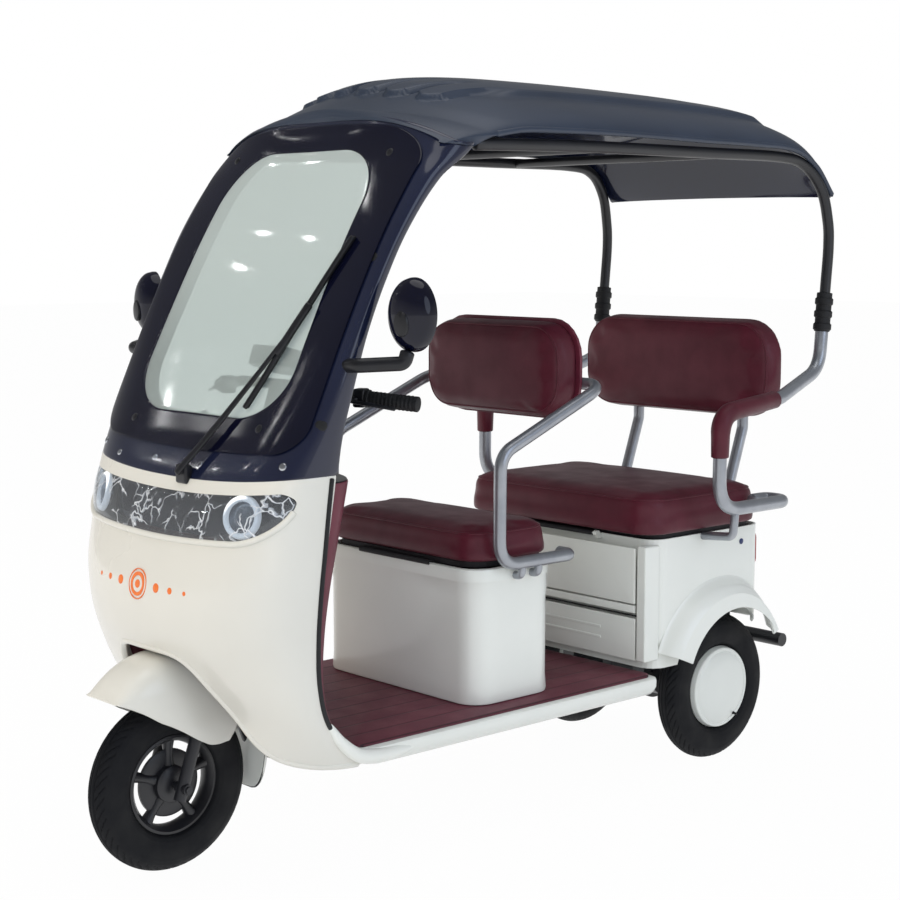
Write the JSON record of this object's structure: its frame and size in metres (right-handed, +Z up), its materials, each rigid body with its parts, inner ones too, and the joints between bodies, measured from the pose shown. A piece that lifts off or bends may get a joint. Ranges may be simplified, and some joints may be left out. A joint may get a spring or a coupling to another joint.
{
  "type": "electric passenger tricycle",
  "caption": "Canopied electric passenger tricycle with a windscreen cowl, bench seats on lift-up boxes, tubular armrests, a steered front wheel and a driven rear axle.",
  "frame": {"origin": "on the ground under the centre of the whole vehicle", "axes": "+Z up, the front faces -Y, +X is the rider's left"},
  "size_m": [1.0004, 1.888, 1.631],
  "materials": {
    "cream_paint": "gloss",
    "white_paint": "gloss",
    "navy_cowl": "gloss",
    "black_border": "gloss",
    "clear_screen": "clear",
    "lamp_cover": "clear",
    "lamp_lens": "gloss",
    "tail_lens": "gloss",
    "navy_roof": "satin",
    "black_plastic": "matte",
    "black_steel": "satin",
    "silver_tube": "satin",
    "mirror_glass": "polished",
    "black_rubber": "matte",
    "tyre_rubber": "matte",
    "maroon_vinyl": "satin",
    "maroon_plastic": "satin",
    "black_board": "matte"
  },
  "bodies": {
    "chassis": {"main_frame": "black_steel", "floor_pan": "white_paint", "floor_mat": "maroon_plastic", "front_shell": "cream_paint", "inner_shield": "maroon_plastic", "dash_panel": "black_plastic", "headlamp_housing": "black_plastic", "headlamps": "lamp_lens", "headlamp_cover": "lamp_cover", "windscreen_cowl": "navy_cowl", "screen_border": "black_border", "windscreen": "clear_screen", "wiper": "black_plastic", "mirror_arms": "black_steel", "mirror_heads": "black_plastic", "mirror_glasses": "mirror_glass", "canopy_roof": "navy_roof", "roof_frame": "black_steel", "post_sleeves": "black_rubber", "rear_rails": "silver_tube", "armrest_pads": "maroon_vinyl", "rear_backrest": "maroon_vinyl", "backrest_posts": "silver_tube", "rear_body": "white_paint", "access_panel": "white_paint", "rear_guards": "white_paint", "tail_lamps": "tail_lens", "rear_bumper": "black_steel", "front_seat_box": "white_paint", "front_seat_rails": "silver_tube", "front_backrest": "maroon_vinyl", "backrest_shell": "white_paint", "rear_axle": "black_steel", "leaf_springs": "black_steel", "battery_pack": "black_plastic"},
    "steering": {"fork": "black_steel", "front_guard": "cream_paint", "handlebar": "black_steel", "grips": "black_rubber", "brake_levers": "black_steel", "instrument_pod": "black_plastic"},
    "front_wheel": {"front_tyre": "tyre_rubber", "front_rim": "black_steel"},
    "rear_wheel_left": {"rear_tyre_left": "tyre_rubber", "rear_rim_left": "white_paint"},
    "rear_wheel_right": {"rear_tyre_right": "tyre_rubber", "rear_rim_right": "white_paint"},
    "front_seat_lid": {"front_seat_cushion": "maroon_vinyl", "front_seat_board": "black_board"},
    "rear_seat_lid": {"rear_seat_cushion": "maroon_vinyl", "rear_seat_board": "black_board"}
  },
  "joints": [
    {"name": "steer", "type": "hinge", "parent": "chassis", "child": "steering", "pos_m": [0, -0.74, 0.181], "axis": [0, 0.3256, 0.9455], "range_deg": [-26, 26]},
    {"name": "front_wheel_spin", "type": "hinge", "parent": "steering", "child": "front_wheel", "pos_m": [0, -0.757, 0.181], "axis": [1, 0, 0], "continuous": true},
    {"name": "rear_wheel_left_spin", "type": "hinge", "parent": "chassis", "child": "rear_wheel_left", "pos_m": [0.2235, 0.688, 0.181], "axis": [1, 0, 0], "continuous": true},
    {"name": "rear_wheel_right_spin", "type": "hinge", "parent": "chassis", "child": "rear_wheel_right", "pos_m": [-0.2235, 0.688, 0.181], "axis": [1, 0, 0], "continuous": true},
    {"name": "front_seat_lift", "type": "hinge", "parent": "chassis", "child": "front_seat_lid", "pos_m": [0, -0.148, 0.5765], "axis": [1, 0, 0], "range_deg": [0, 70]},
    {"name": "rear_seat_lift", "type": "hinge", "parent": "chassis", "child": "rear_seat_lid", "pos_m": [0, 0.369, 0.5865], "axis": [1, 0, 0], "range_deg": [0, 60]}
  ]
}
